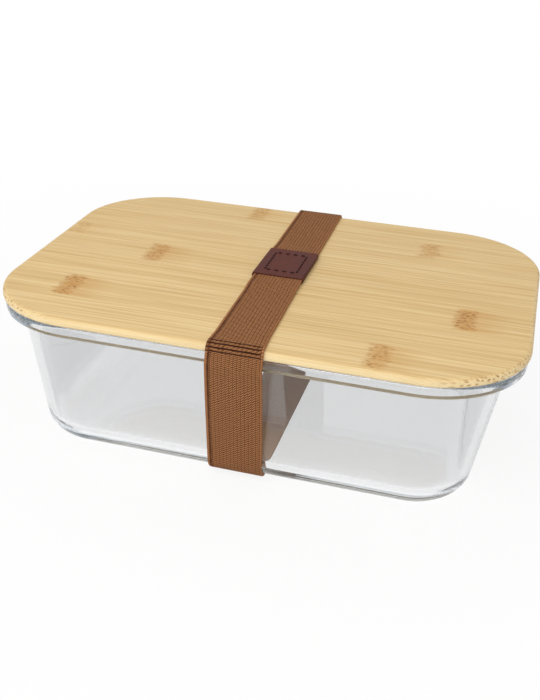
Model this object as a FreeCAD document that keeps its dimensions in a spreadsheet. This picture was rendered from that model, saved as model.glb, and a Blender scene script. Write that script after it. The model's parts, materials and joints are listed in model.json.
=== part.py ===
"""Glass lunch box with a bamboo lid, a silicone seal and an elastic strap.

Millimetres. X runs along the box, Y from front to back and Z up. The origin is on the floor under the middle
of the box, which stands on the run of the strap that passes below the tray.
"""
import FreeCAD, Part
import math
import os

import Sketcher

Vector = FreeCAD.Vector

PAD = "PartDesign::Pad"
POCKET = "PartDesign::Pocket"
FILLET = "PartDesign::Fillet"
CHAMFER = "PartDesign::Chamfer"

# Driving dimensions. Every other size in the model follows from these.
SIZES = {
    # Bamboo lid: a board of edge-glued strips that rests on the rim and drops a step into the mouth.
    "lid_length": 210.0,
    "lid_width": 150.5,
    "lid_corner": 39.0,
    "lid_thick": 3.5,
    "lid_round": 1.6,
    "lid_ease": 0.6,
    "strip_count": 7,
    "step_depth": 6.5,
    "step_gap": 2.4,
    "step_ease": 0.8,
    "groove_drop": 1.6,
    "groove_width": 3.2,
    "groove_depth": 1.8,
    # Silicone seal: a ring held in the groove, with two lips that reach towards the glass.
    "seal_seat": 0.05,
    "seal_stand": 0.7,
    "lip_thick": 0.8,
    "lip_gap": 0.25,
    # Glass tray: drafted walls, a rounded floor and an outward rim.
    "tray_height": 63.0,
    "tray_draft": 9.0,
    "rim_inset": 0.8,
    "rim_thick": 4.3,
    "rim_reach": 6.2,
    "rim_round": 2.0,
    "rim_ease": 0.8,
    "rim_root": 1.5,
    "mouth_ease": 0.8,
    "wall_thick": 3.6,
    "floor_thick": 5.0,
    "floor_round": 8.0,
    "base_round": 11.0,
    "base_hollow": 0.6,
    "base_foot": 7.0,
    # Elastic strap: a taut band round the lid, down to the rounded base and under the tray.
    "strap_width": 20.5,
    "strap_thick": 1.1,
    "strap_gap": 0.2,
    "strap_shift": 1.5,
    "strap_bend": 3.0,
    "strap_rise": 8.0,
    "strap_split": 0.6,
    # Leather patch: a strip folded round the band over its meeting ends, sewn with one thread.
    "patch_length": 29.5,
    "patch_shift": 3.3,
    "patch_thick": 0.5,
    "patch_play": 0.05,
    "patch_lead": 1.5,
    "patch_fold": 0.6,
    "sewn_length": 20.5,
    "sewn_width": 14.0,
    "stitch_pitch": 2.9,
    "stitch_length": 2.2,
    "stitch_width": 0.7,
    "stitch_height": 0.35,
}

# Worked-out sizes, as sheet formulas on the driving ones.
FORMULAS = {
    "tray_base": "=strap_thick + strap_gap",
    "rim_top": "=tray_base + tray_height",
    "rim_under": "=rim_top - rim_thick",
    "lid_top": "=rim_top + lid_thick",
    "rim_length": "=lid_length - 2 * rim_inset",
    "rim_width": "=lid_width - 2 * rim_inset",
    "rim_corner": "=lid_corner - rim_inset",
    "neck_length": "=rim_length - 2 * rim_reach",
    "neck_width": "=rim_width - 2 * rim_reach",
    "neck_corner": "=rim_corner - rim_reach",
    "slope": "=tan(tray_draft * 1 deg)",
    "mouth_wall": "=wall_thick - rim_thick * slope",
    "mouth_length": "=neck_length - 2 * mouth_wall",
    "mouth_width": "=neck_width - 2 * mouth_wall",
    "mouth_corner": "=neck_corner - mouth_wall",
    "base_draw": "=(tray_height - rim_thick) * slope",
    "hollow_length": "=neck_length - 2 * (base_draw + base_round + base_foot - base_round * slope)",
    "hollow_width": "=neck_width - 2 * (base_draw + base_round + base_foot - base_round * slope)",
    "hollow_corner": "=neck_corner - base_draw - base_round + base_round * slope",
    "step_length": "=mouth_length - 2 * step_gap",
    "step_width": "=mouth_width - 2 * step_gap",
    "step_corner": "=mouth_corner - step_gap",
    "strip_width": "=lid_width / strip_count",
    "band_mid": "=strap_gap + strap_thick / 2",
    "patch_lift": "=strap_gap + patch_thick + patch_play + strap_thick / 2",
    "patch_height": "=strap_thick + 2 * patch_play + 2 * patch_thick",
    "patch_width": "=strap_width + 2 * patch_play + 2 * patch_thick",
    "patch_top": "=lid_top + strap_gap + patch_height",
}

doc = FreeCAD.newDocument("lunch_box")
sheet = doc.addObject("Spreadsheet::Sheet", "Sizes")
for row, (alias, value) in enumerate(list(SIZES.items()) + list(FORMULAS.items()), start=1):
    sheet.set(f"A{row}", alias)
    sheet.set(f"B{row}", str(value))
    sheet.setAlias(f"B{row}", alias)
doc.recompute()


def size(alias):
    """Return a sheet value as a plain number."""
    return float(getattr(sheet, alias))


def bind(target, path, formula):
    """Bind a property of an object to a formula on the sheet's aliases, which are written in braces."""
    target.setExpression(path, formula.replace("{", "Sizes.").replace("}", ""))


def new_body(label):
    """Return an empty body with its own label."""
    body = doc.addObject("PartDesign::Body", label)
    body.Label = label
    return body


def new_sketch(body, role, name):
    """Return a sketch on one of the body's origin planes."""
    plane = next(item for item in body.Origin.OriginFeatures if item.Role == role)
    sketch = body.newObject("Sketcher::SketchObject", name)
    sketch.AttachmentSupport = [(plane, "")]
    sketch.MapMode = "FlatFace"
    return sketch


def rounded_loop(sketch, length, width, corner, tag):
    """Draw a rounded rectangle about the sketch's origin, with its three sizes bound to formulas."""
    first = sketch.GeometryCount
    half_x, half_y, turn = 40.0, 30.0, 10.0
    lines = [
        ((-half_x + turn, -half_y), (half_x - turn, -half_y)),
        ((half_x, -half_y + turn), (half_x, half_y - turn)),
        ((half_x - turn, half_y), (-half_x + turn, half_y)),
        ((-half_x, half_y - turn), (-half_x, -half_y + turn)),
    ]
    for start, end in lines:
        sketch.addGeometry(Part.LineSegment(Vector(*start, 0), Vector(*end, 0)))
    middles = [(1, -1), (1, 1), (-1, 1), (-1, -1)]
    for index, (side_x, side_y) in enumerate(middles):
        centre = Vector(side_x * (half_x - turn), side_y * (half_y - turn), 0)
        circle = Part.Circle(centre, Vector(0, 0, 1), turn)
        start = (index - 1) * math.pi / 2
        sketch.addGeometry(Part.ArcOfCircle(circle, start, start + math.pi / 2))
    for index in range(4):
        line = first + index
        arc = first + 4 + index
        after = first + (index + 1) % 4
        sketch.addConstraint(Sketcher.Constraint("Tangent", line, 2, arc, 1))
        sketch.addConstraint(Sketcher.Constraint("Tangent", arc, 2, after, 1))
    for index, way in enumerate(["Horizontal", "Vertical", "Horizontal", "Vertical"]):
        sketch.addConstraint(Sketcher.Constraint(way, first + index))
    for index in range(1, 4):
        sketch.addConstraint(Sketcher.Constraint("Equal", first + 4, first + 4 + index))
    sketch.addConstraint(Sketcher.Constraint("Symmetric", first + 4, 3, first + 6, 3, -1, 1))
    sized = [
        ("DistanceX", (first + 3, 1, first + 1, 1), 2 * half_x, length, "length"),
        ("DistanceY", (first, 1, first + 2, 1), 2 * half_y, width, "width"),
        ("Radius", (first + 4,), turn, corner, "corner"),
    ]
    for kind, places, start, formula, word in sized:
        number = sketch.addConstraint(Sketcher.Constraint(kind, *places, start))
        sketch.renameConstraint(number, f"{tag}_{word}")
        bind(sketch, f"Constraints.{tag}_{word}", formula)


def rounded_sketch(body, name, level, *loops):
    """Draw one or more concentric rounded rectangles in a level plane of the body."""
    sketch = new_sketch(body, "XY_Plane", name)
    bind(sketch, "AttachmentOffset.Base.z", level)
    for index, (length, width, corner) in enumerate(loops):
        rounded_loop(sketch, length, width, corner, f"loop{index}")
    return sketch


def raised(body, kind, name, sketch, depth, down=False, taper=None):
    """Add a pad or pocket with its depth, its direction and any draft bound to formulas."""
    feature = body.newObject(kind, name)
    feature.Profile = sketch
    bind(feature, "Length", depth)
    feature.Reversed = down
    if taper:
        bind(feature, "TaperAngle", taper)
    doc.recompute()
    return feature


def inset_of(point):
    """Return how far a point lies inside the lid's outline, as seen from above."""
    corner = size("lid_corner")
    beyond_x = abs(point.x) - size("lid_length") / 2 + corner
    beyond_y = abs(point.y) - size("lid_width") / 2 + corner
    outside = math.hypot(max(beyond_x, 0.0), max(beyond_y, 0.0))
    return corner - outside - min(max(beyond_x, beyond_y), 0.0)


def edges_at(feature, level, inset):
    """Name the edges of a feature that run round the box at a level and an inset from the lid's edge."""
    names = []
    for index, edge in enumerate(feature.Shape.Edges, start=1):
        middle = edge.valueAt((edge.FirstParameter + edge.LastParameter) / 2)
        ends = [vertex.Point for vertex in edge.Vertexes]
        flat = all(abs(point.z - level) < 0.01 for point in ends + [middle])
        if flat and abs(inset_of(middle) - inset) < 0.02:
            names.append(f"Edge{index}")
    return names


def dress_edges(body, kind, name, level, inset, amount, other=None):
    """Round or chamfer the edges that run round the box at a level and an inset."""
    doc.recompute()
    base = body.Tip
    names = edges_at(base, level, inset)
    if not names:
        raise RuntimeError(f"no edge to dress for {name}")
    feature = body.newObject(kind, name)
    feature.Base = (base, names)
    bind(feature, "Radius" if kind == FILLET else "Size", amount)
    if other:
        feature.ChamferType = "Two distances"
        bind(feature, "Size2", other)
    doc.recompute()
    return feature


def eased_edges(body, name, level, inset, radius, falls):
    """Ease an outer edge with two bevels that touch a quarter round of the named radius.

    The flat lies at the given level; falls is True where the side drops away below it.
    """
    reach = "(1 - tan(15 deg))"
    drop = f"{reach} * tan(30 deg)"
    wide = dress_edges(
        body, CHAMFER, f"{name}_wide_bevel", level, inset, f"{{{radius}}} * {reach}", f"{{{radius}}} * {drop}"
    )
    fall = size(radius) * (1 - math.tan(math.pi / 12)) * math.tan(math.pi / 6)
    side = level - fall if falls else level + fall
    if not edges_at(wide, side, inset):
        wide.FlipDirection = True
    dress_edges(body, CHAMFER, f"{name}_narrow_bevel", side, inset, f"{{{radius}}} * ({reach} - {drop})")


def build_tray():
    """Model the glass tray: a drafted block and a rim, hollowed from the mouth, with moulded rounds."""
    body = new_body("glass_container")
    neck = rounded_sketch(
        body, "neck_outline", "{rim_under}", ("{neck_length}", "{neck_width}", "{neck_corner}")
    )
    raised(body, PAD, "wall_block", neck, "{tray_height} - {rim_thick}", True, "-{tray_draft}")
    rim = rounded_sketch(body, "rim_outline", "{rim_under}", ("{rim_length}", "{rim_width}", "{rim_corner}"))
    raised(body, PAD, "rim", rim, "{rim_thick}")
    mouth = rounded_sketch(
        body, "mouth_outline", "{rim_top}", ("{mouth_length}", "{mouth_width}", "{mouth_corner}")
    )
    before = body.Shape.Volume
    raised(body, POCKET, "cavity", mouth, "{tray_height} - {floor_thick}", False, "-{tray_draft}")
    if body.Shape.Volume > 0.6 * before:
        raise RuntimeError("the cavity did not cut the tray")

    slope = size("slope")
    neck_inset = size("rim_inset") + size("rim_reach")
    mouth_inset = neck_inset + size("mouth_wall")
    floor_inset = mouth_inset + (size("tray_height") - size("floor_thick")) * slope
    floor_level = size("tray_base") + size("floor_thick")
    base_inset = neck_inset + size("base_draw")
    dress_edges(body, FILLET, "floor_rounding", floor_level, floor_inset, "{floor_round}")
    dress_edges(body, FILLET, "base_rounding", size("tray_base"), base_inset, "{base_round}")
    dress_edges(body, CHAMFER, "rim_root_gusset", size("rim_under"), neck_inset, "{rim_root}")
    dress_edges(body, CHAMFER, "rim_top_easing", size("rim_top"), size("rim_inset"), "{rim_ease}")
    eased_edges(body, "rim_under", size("rim_under"), size("rim_inset"), "rim_round", falls=False)
    dress_edges(body, CHAMFER, "mouth_easing", size("rim_top"), mouth_inset, "{mouth_ease}")
    hollow = rounded_sketch(
        body, "hollow_outline", "{tray_base}", ("{hollow_length}", "{hollow_width}", "{hollow_corner}")
    )
    before = body.Shape.Volume
    raised(body, POCKET, "base_hollow", hollow, "{base_hollow}", True)
    if body.Shape.Volume >= before:
        raise RuntimeError("the hollow did not cut the base")
    return body


def build_board():
    """Model the lid as the one board that the strips are glued into, with its step and seal groove."""
    body = new_body("lid_board")
    outline = rounded_sketch(
        body, "lid_outline", "{rim_top}", ("{lid_length}", "{lid_width}", "{lid_corner}")
    )
    raised(body, PAD, "plate", outline, "{lid_thick}")
    step = rounded_sketch(
        body, "step_outline", "{rim_top}", ("{step_length}", "{step_width}", "{step_corner}")
    )
    raised(body, PAD, "step", step, "{step_depth}", True)
    groove = rounded_sketch(
        body,
        "groove_outline",
        "{rim_top} - {groove_drop}",
        ("{step_length} + 2", "{step_width} + 2", "{step_corner} + 1"),
        (
            "{step_length} - 2 * {groove_depth}",
            "{step_width} - 2 * {groove_depth}",
            "{step_corner} - {groove_depth}",
        ),
    )
    before = body.Shape.Volume
    raised(body, POCKET, "groove", groove, "{groove_width}")
    if body.Shape.Volume >= before:
        raise RuntimeError("the groove did not cut the step")
    step_inset = size("rim_inset") + size("rim_reach") + size("mouth_wall") + size("step_gap")
    eased_edges(body, "lid_top", size("lid_top"), 0.0, "lid_round", falls=True)
    dress_edges(body, CHAMFER, "lid_under_easing", size("rim_top"), 0.0, "{lid_ease}")
    dress_edges(body, CHAMFER, "step_easing", size("rim_top") - size("step_depth"), step_inset, "{step_ease}")
    return body


def build_strips(board):
    """Cut the board into its glued strips, front to back."""
    strips = []
    for index in range(int(size("strip_count"))):
        lane = doc.addObject("Part::Box", f"lane_{index + 1}")
        bind(lane, "Length", "{lid_length} + 2 * {lid_thick}")
        bind(lane, "Width", "{strip_width}")
        bind(lane, "Height", "2 * ({lid_thick} + {step_depth})")
        bind(lane, "Placement.Base.x", "-{lid_length} / 2 - {lid_thick}")
        bind(lane, "Placement.Base.y", f"-{{lid_width}} / 2 + {index} * {{strip_width}}")
        bind(lane, "Placement.Base.z", "{rim_top} - {lid_thick} - {step_depth}")
        strip = doc.addObject("Part::Common", f"bamboo_strip_{index + 1}")
        strip.Label = f"bamboo_strip_{index + 1}"
        strip.Base = board
        strip.Tool = lane
        strips.append(strip)
    doc.recompute()
    return strips


def build_seal():
    """Model the seal: a ring in the groove and two lips that stop just short of the drafted glass."""
    body = new_body("silicone_seal")
    inner = (
        "{step_length} - 2 * ({groove_depth} - {seal_seat})",
        "{step_width} - 2 * ({groove_depth} - {seal_seat})",
        "{step_corner} - ({groove_depth} - {seal_seat})",
    )
    stand = (
        "{step_length} + 2 * {seal_stand}",
        "{step_width} + 2 * {seal_stand}",
        "{step_corner} + {seal_stand}",
    )
    top = "{groove_drop} + {seal_seat}"
    low = "{groove_drop} + {groove_width} - {seal_seat}"
    ring = rounded_sketch(body, "ring_outline", f"{{rim_top}} - ({low})", stand, inner)
    raised(body, PAD, "ring", ring, "{groove_width} - 2 * {seal_seat}")
    lips = {"upper_lip": f"{top} + {{lip_thick}}", "lower_lip": low}
    for name, drop in lips.items():
        narrow = f"(({drop}) * {{slope}} + {{lip_gap}})"
        reach = (
            f"{{mouth_length}} - 2 * {narrow}",
            f"{{mouth_width}} - 2 * {narrow}",
            f"{{mouth_corner}} - {narrow}",
        )
        lip = rounded_sketch(body, f"{name}_outline", f"{{rim_top}} - ({drop})", reach, inner)
        raised(body, PAD, name, lip, "{lip_thick}")
    return body


def strap_route():
    """Return the middle line of half the strap as lines and arcs, from the lid's top to under the tray."""
    side = size("lid_width") / 2 + size("band_mid")
    high = size("lid_top") + size("patch_lift")
    level = size("lid_top") + size("band_mid")
    low = size("strap_thick") / 2
    rise = size("strap_rise")
    lead = abs(size("patch_shift")) + size("patch_length") / 2 + size("patch_lead")
    turn = math.acos(1 - (high - level) / (2 * rise))
    fall = lead + 2 * rise * math.sin(turn)

    over = size("lid_round") + size("band_mid")
    bend = size("strap_bend")
    under = size("base_round") + size("band_mid")
    bend_at = Vector(side - bend, size("rim_under"), 0)
    under_at = Vector(base_centre(), low + under, 0)
    between = bend_at - under_at
    lean = math.acos((under - bend) / between.Length) - math.atan2(between.y, between.x)
    outward = Vector(math.cos(lean), -math.sin(lean), 0)

    def line(start, end):
        return Part.LineSegment(start, end)

    def arc(centre, radius, start, end):
        return Part.ArcOfCircle(Part.Circle(centre, Vector(0, 0, 1), radius), start, end)

    quarter = math.pi / 2
    return [
        line(Vector(0, high, 0), Vector(lead, high, 0)),
        arc(Vector(lead, high - rise, 0), rise, quarter - turn, quarter),
        arc(Vector(fall, level + rise, 0), rise, 3 * quarter - turn, 3 * quarter),
        line(Vector(fall, level, 0), Vector(side - over, level, 0)),
        arc(Vector(side - over, level - over, 0), over, 0, quarter),
        line(Vector(side, level - over, 0), Vector(side, size("rim_under"), 0)),
        arc(bend_at, bend, -lean, 0),
        line(bend_at + outward * bend, under_at + outward * under),
        arc(under_at, under, -quarter, -lean),
        line(Vector(under_at.x, low, 0), Vector(0, low, 0)),
    ]


def base_centre():
    """Return how far from the middle plane the rounding under the front and back walls has its axis."""
    draft = math.radians(size("tray_draft"))
    half = size("neck_width") / 2 - size("base_draw")
    return half + size("base_round") * (math.tan(draft) - 1 / math.cos(draft))


def build_strap():
    """Model the band: a flat section along a taut route, mirrored, its two ends meeting under the patch."""
    body = new_body("elastic_strap")
    route = new_sketch(body, "YZ_Plane", "route")
    for piece in strap_route():
        route.addGeometry(piece)
    starts_last = {1, 4, 6, 8}
    for index in range(9):
        leaving = 1 if index in starts_last else 2
        entering = 2 if index + 1 in starts_last else 1
        route.addConstraint(Sketcher.Constraint("Tangent", index, leaving, index + 1, entering))
    for index, way in [(0, "Horizontal"), (3, "Horizontal"), (5, "Vertical"), (9, "Horizontal")]:
        route.addConstraint(Sketcher.Constraint(way, index))
    route.addConstraint(Sketcher.Constraint("PointOnObject", 0, 1, -2))
    route.addConstraint(Sketcher.Constraint("PointOnObject", 9, 2, -2))
    route.addConstraint(Sketcher.Constraint("Equal", 1, 2))
    axis_of_base = (
        "{neck_width} / 2 - {base_draw}"
        " + {base_round} * ({slope} - 1 / cos({tray_draft} * 1 deg))"
    )
    sized = [
        ("DistanceY", (-1, 1, 0, 1), "{lid_top} + {patch_lift}", "run_over_patch"),
        ("DistanceX", (-1, 1, 0, 2), "abs({patch_shift}) + {patch_length} / 2 + {patch_lead}", "patch_run"),
        ("Radius", (1,), "{strap_rise}", "rise"),
        ("DistanceY", (-1, 1, 3, 2), "{lid_top} + {band_mid}", "run_over_lid"),
        ("Radius", (4,), "{lid_round} + {band_mid}", "over"),
        ("DistanceX", (-1, 1, 5, 1), "{lid_width} / 2 + {band_mid}", "side"),
        ("DistanceY", (-1, 1, 5, 2), "{rim_under}", "leaves_rim"),
        ("Radius", (6,), "{strap_bend}", "bend"),
        ("Radius", (8,), "{base_round} + {band_mid}", "under"),
        ("DistanceX", (-1, 1, 8, 3), axis_of_base, "axis"),
        ("DistanceY", (-1, 1, 9, 1), "{strap_thick} / 2", "run_below"),
    ]
    for kind, places, formula, name in sized:
        if kind == "Radius":
            drawn = route.Geometry[places[0]].Radius
        else:
            point = route.getPoint(*places[2:])
            drawn = point.x if kind == "DistanceX" else point.y
        number = route.addConstraint(Sketcher.Constraint(kind, *places, drawn))
        route.renameConstraint(number, name)
        bind(route, f"Constraints.{name}", formula)

    section = new_sketch(body, "XZ_Plane", "section")
    bind(section, "AttachmentOffset.Base.y", "{lid_top} + {patch_lift}")
    flat_loop(section, "{strap_width}", "{strap_thick}")
    doc.recompute()
    band = body.newObject("PartDesign::AdditivePipe", "half_band")
    band.Profile = section
    band.Spine = (route, [])
    doc.recompute()
    plane = next(item for item in body.Origin.OriginFeatures if item.Role == "XZ_Plane")
    mirror = body.newObject("PartDesign::Mirrored", "whole_band")
    mirror.Originals = [band]
    mirror.MirrorPlane = (plane, [""])
    body.Tip = mirror
    doc.recompute()

    split = new_sketch(body, "XY_Plane", "split")
    bind(split, "AttachmentOffset.Base.z", "{lid_top} + {patch_lift} + {strap_thick}")
    bind(split, "AttachmentOffset.Base.y", "{patch_shift}")
    flat_loop(split, "{strap_width} + 2", "{strap_split}")
    before = body.Shape.Volume
    raised(body, POCKET, "ends", split, "2 * {strap_thick}")
    if body.Shape.Volume >= before:
        raise RuntimeError("the strap's ends were not parted")
    bind(body, "Placement.Base.x", "{strap_shift}")
    return body


def flat_loop(sketch, length, width):
    """Draw a rectangle about the sketch's origin, with its two sizes bound to formulas."""
    corners = [Vector(-5, -1, 0), Vector(5, -1, 0), Vector(5, 1, 0), Vector(-5, 1, 0)]
    for index in range(4):
        sketch.addGeometry(Part.LineSegment(corners[index], corners[(index + 1) % 4]))
    for index in range(4):
        sketch.addConstraint(Sketcher.Constraint("Coincident", index, 2, (index + 1) % 4, 1))
    for index, way in enumerate(["Horizontal", "Vertical", "Horizontal", "Vertical"]):
        sketch.addConstraint(Sketcher.Constraint(way, index))
    sketch.addConstraint(Sketcher.Constraint("Symmetric", 0, 1, 2, 1, -1, 1))
    for kind, line, start, formula, word in [
        ("DistanceX", 0, 10.0, length, "length"),
        ("DistanceY", 1, 2.0, width, "width"),
    ]:
        number = sketch.addConstraint(Sketcher.Constraint(kind, line, 1, line, 2, start))
        sketch.renameConstraint(number, word)
        bind(sketch, f"Constraints.{word}", formula)


def build_patch():
    """Model the leather patch as a flat sleeve, folded round the band."""
    body = new_body("leather_patch")
    section = new_sketch(body, "XZ_Plane", "fold")
    bind(section, "AttachmentOffset.Base.y", "{patch_top} - {patch_height} / 2")
    rounded_loop(section, "{patch_width}", "{patch_height}", "{patch_fold}", "outside")
    inner_fold = "max({patch_fold} - {patch_thick}; {patch_play})"
    rounded_loop(
        section,
        "{patch_width} - 2 * {patch_thick}",
        "{patch_height} - 2 * {patch_thick}",
        inner_fold,
        "inside",
    )
    sleeve = raised(body, PAD, "sleeve", section, "{patch_length}")
    sleeve.SideType = "Symmetric"
    bind(body, "Placement.Base.x", "{strap_shift}")
    bind(body, "Placement.Base.y", "{patch_shift}")
    doc.recompute()
    return body


def build_stitching():
    """Lay one sewn rectangle of separate stitches on the face of the patch."""
    long, wide, tall = size("stitch_length"), size("stitch_width"), size("stitch_height")
    bar = Part.makeBox(long, wide, tall, Vector(-long / 2, -wide / 2, 0))
    upright = [edge for edge in bar.Edges if abs(edge.BoundBox.ZLength - tall) < 1e-6]
    bar = bar.makeChamfer(wide / 3, upright)
    rows = [
        (size("sewn_length"), Vector(0, 1, 0), Vector(-size("sewn_width") / 2, 0, 0), 90),
        (size("sewn_length"), Vector(0, 1, 0), Vector(size("sewn_width") / 2, 0, 0), 90),
        (size("sewn_width"), Vector(1, 0, 0), Vector(0, -size("sewn_length") / 2, 0), 0),
        (size("sewn_width"), Vector(1, 0, 0), Vector(0, size("sewn_length") / 2, 0), 0),
    ]
    stitches = []
    for run, along, middle, angle in rows:
        count = max(1, int(run / size("stitch_pitch")))
        pitch = run / count
        for index in range(count):
            stitch = bar.copy()
            stitch.rotate(Vector(0, 0, 0), Vector(0, 0, 1), angle)
            stitch.translate(middle + along * ((index + 0.5) * pitch - run / 2))
            stitches.append(stitch)
    sewn = doc.addObject("Part::Feature", "patch_stitching")
    sewn.Label = "patch_stitching"
    sewn.Shape = Part.makeCompound(stitches)
    bind(sewn, "Placement.Base.x", "{strap_shift}")
    bind(sewn, "Placement.Base.y", "{patch_shift}")
    bind(sewn, "Placement.Base.z", "{patch_top}")
    doc.recompute()
    return sewn


def main():
    """Build every piece, check the document and write one file for each piece."""
    tray = build_tray()
    board = build_board()
    pieces = [tray, *build_strips(board), build_seal(), build_strap(), build_patch(), build_stitching()]
    doc.recompute()
    for item in doc.Objects:
        if "Invalid" in item.State or "Error" in item.State:
            raise RuntimeError(f"{item.Label} failed: {item.State}")
    for piece in pieces:
        if piece.Shape.isNull() or not piece.Shape.isValid():
            raise RuntimeError(f"{piece.Label} has no sound shape")
    os.makedirs("parts", exist_ok=True)
    for piece in pieces:
        piece.Shape.exportStep(f"parts/{piece.Label}.step")
        solids = len(piece.Shape.Solids)
        print(f"{piece.Label}: {solids} solid(s), {piece.Shape.Volume / 1000:.2f} cm3")


main()
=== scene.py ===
"""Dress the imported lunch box: a glass tray, a bamboo lid, an elastic strap and a leather patch."""

import json
import logging
import math
from dataclasses import dataclass, field
from enum import Enum
from typing import Any, Optional, Union

import bmesh
import bpy
from mathutils import Matrix, Vector

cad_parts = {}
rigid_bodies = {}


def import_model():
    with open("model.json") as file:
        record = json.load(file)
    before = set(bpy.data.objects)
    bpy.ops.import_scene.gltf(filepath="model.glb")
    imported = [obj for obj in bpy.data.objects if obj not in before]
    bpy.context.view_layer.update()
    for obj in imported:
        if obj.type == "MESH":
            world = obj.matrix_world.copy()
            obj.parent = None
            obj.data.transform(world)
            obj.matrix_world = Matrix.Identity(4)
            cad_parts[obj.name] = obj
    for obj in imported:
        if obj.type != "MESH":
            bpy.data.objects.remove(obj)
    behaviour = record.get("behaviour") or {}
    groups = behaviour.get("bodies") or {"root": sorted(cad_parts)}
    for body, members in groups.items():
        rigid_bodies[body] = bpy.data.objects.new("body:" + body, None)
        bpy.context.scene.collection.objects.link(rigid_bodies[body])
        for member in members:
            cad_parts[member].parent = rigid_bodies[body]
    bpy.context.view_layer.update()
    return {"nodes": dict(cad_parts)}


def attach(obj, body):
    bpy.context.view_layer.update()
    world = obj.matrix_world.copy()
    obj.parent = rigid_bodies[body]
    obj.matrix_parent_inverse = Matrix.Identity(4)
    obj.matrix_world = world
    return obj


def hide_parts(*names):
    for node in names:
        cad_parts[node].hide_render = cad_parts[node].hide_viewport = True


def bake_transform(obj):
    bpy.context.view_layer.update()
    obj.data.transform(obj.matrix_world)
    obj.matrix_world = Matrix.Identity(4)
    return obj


LOG = logging.getLogger("lunch_box")
MM = 0.001
IN_MM = (1000.0, 1000.0, 1000.0)
# Places closer than this, in metres, count as one.
WELD = 1e-6
# Points this close to the saw's plane, in metres, lie on it.
ON_SAW = 1e-7
# A face lies level when its normal points this much up or down.
LEVEL = 0.99999
# Light passes many glass walls before it is dropped.
BOUNCES = 128
WHITE = (1.0, 1.0, 1.0, 1.0)

Color = tuple[float, float, float, float]
Stops = tuple[tuple[float, float], ...]
Socket = bpy.types.NodeSocket
Value = Union[float, tuple, Socket]


def srgb(red: float, green: float, blue: float) -> Color:
    """Turn a colour as it is seen on a screen into the linear colour a shader takes.

    Args:
        red: Red from 0 to 255.
        green: Green from 0 to 255.
        blue: Blue from 0 to 255.

    Returns:
        The linear colour with full alpha.
    """

    def linear(level: float) -> float:
        """Return one channel in linear light."""
        part = level / 255.0
        return part / 12.92 if part <= 0.04045 else ((part + 0.055) / 1.055) ** 2.4

    return linear(red), linear(green), linear(blue), 1.0


class Kind(Enum):
    """Kinds of socket that a node group puts out."""

    COLOR = "NodeSocketColor"
    NUMBER = "NodeSocketFloat"


class Rounding(Enum):
    """What a bevel rounds off: the edges of a shape, or the corners of a drawn line."""

    EDGES = "EDGES"
    CORNERS = "VERTICES"


class Axis(Enum):
    """Axes that the edges of a piece run along."""

    X = 0
    Y = 1


# Shader nodes and the groups that the finishes share


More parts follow.
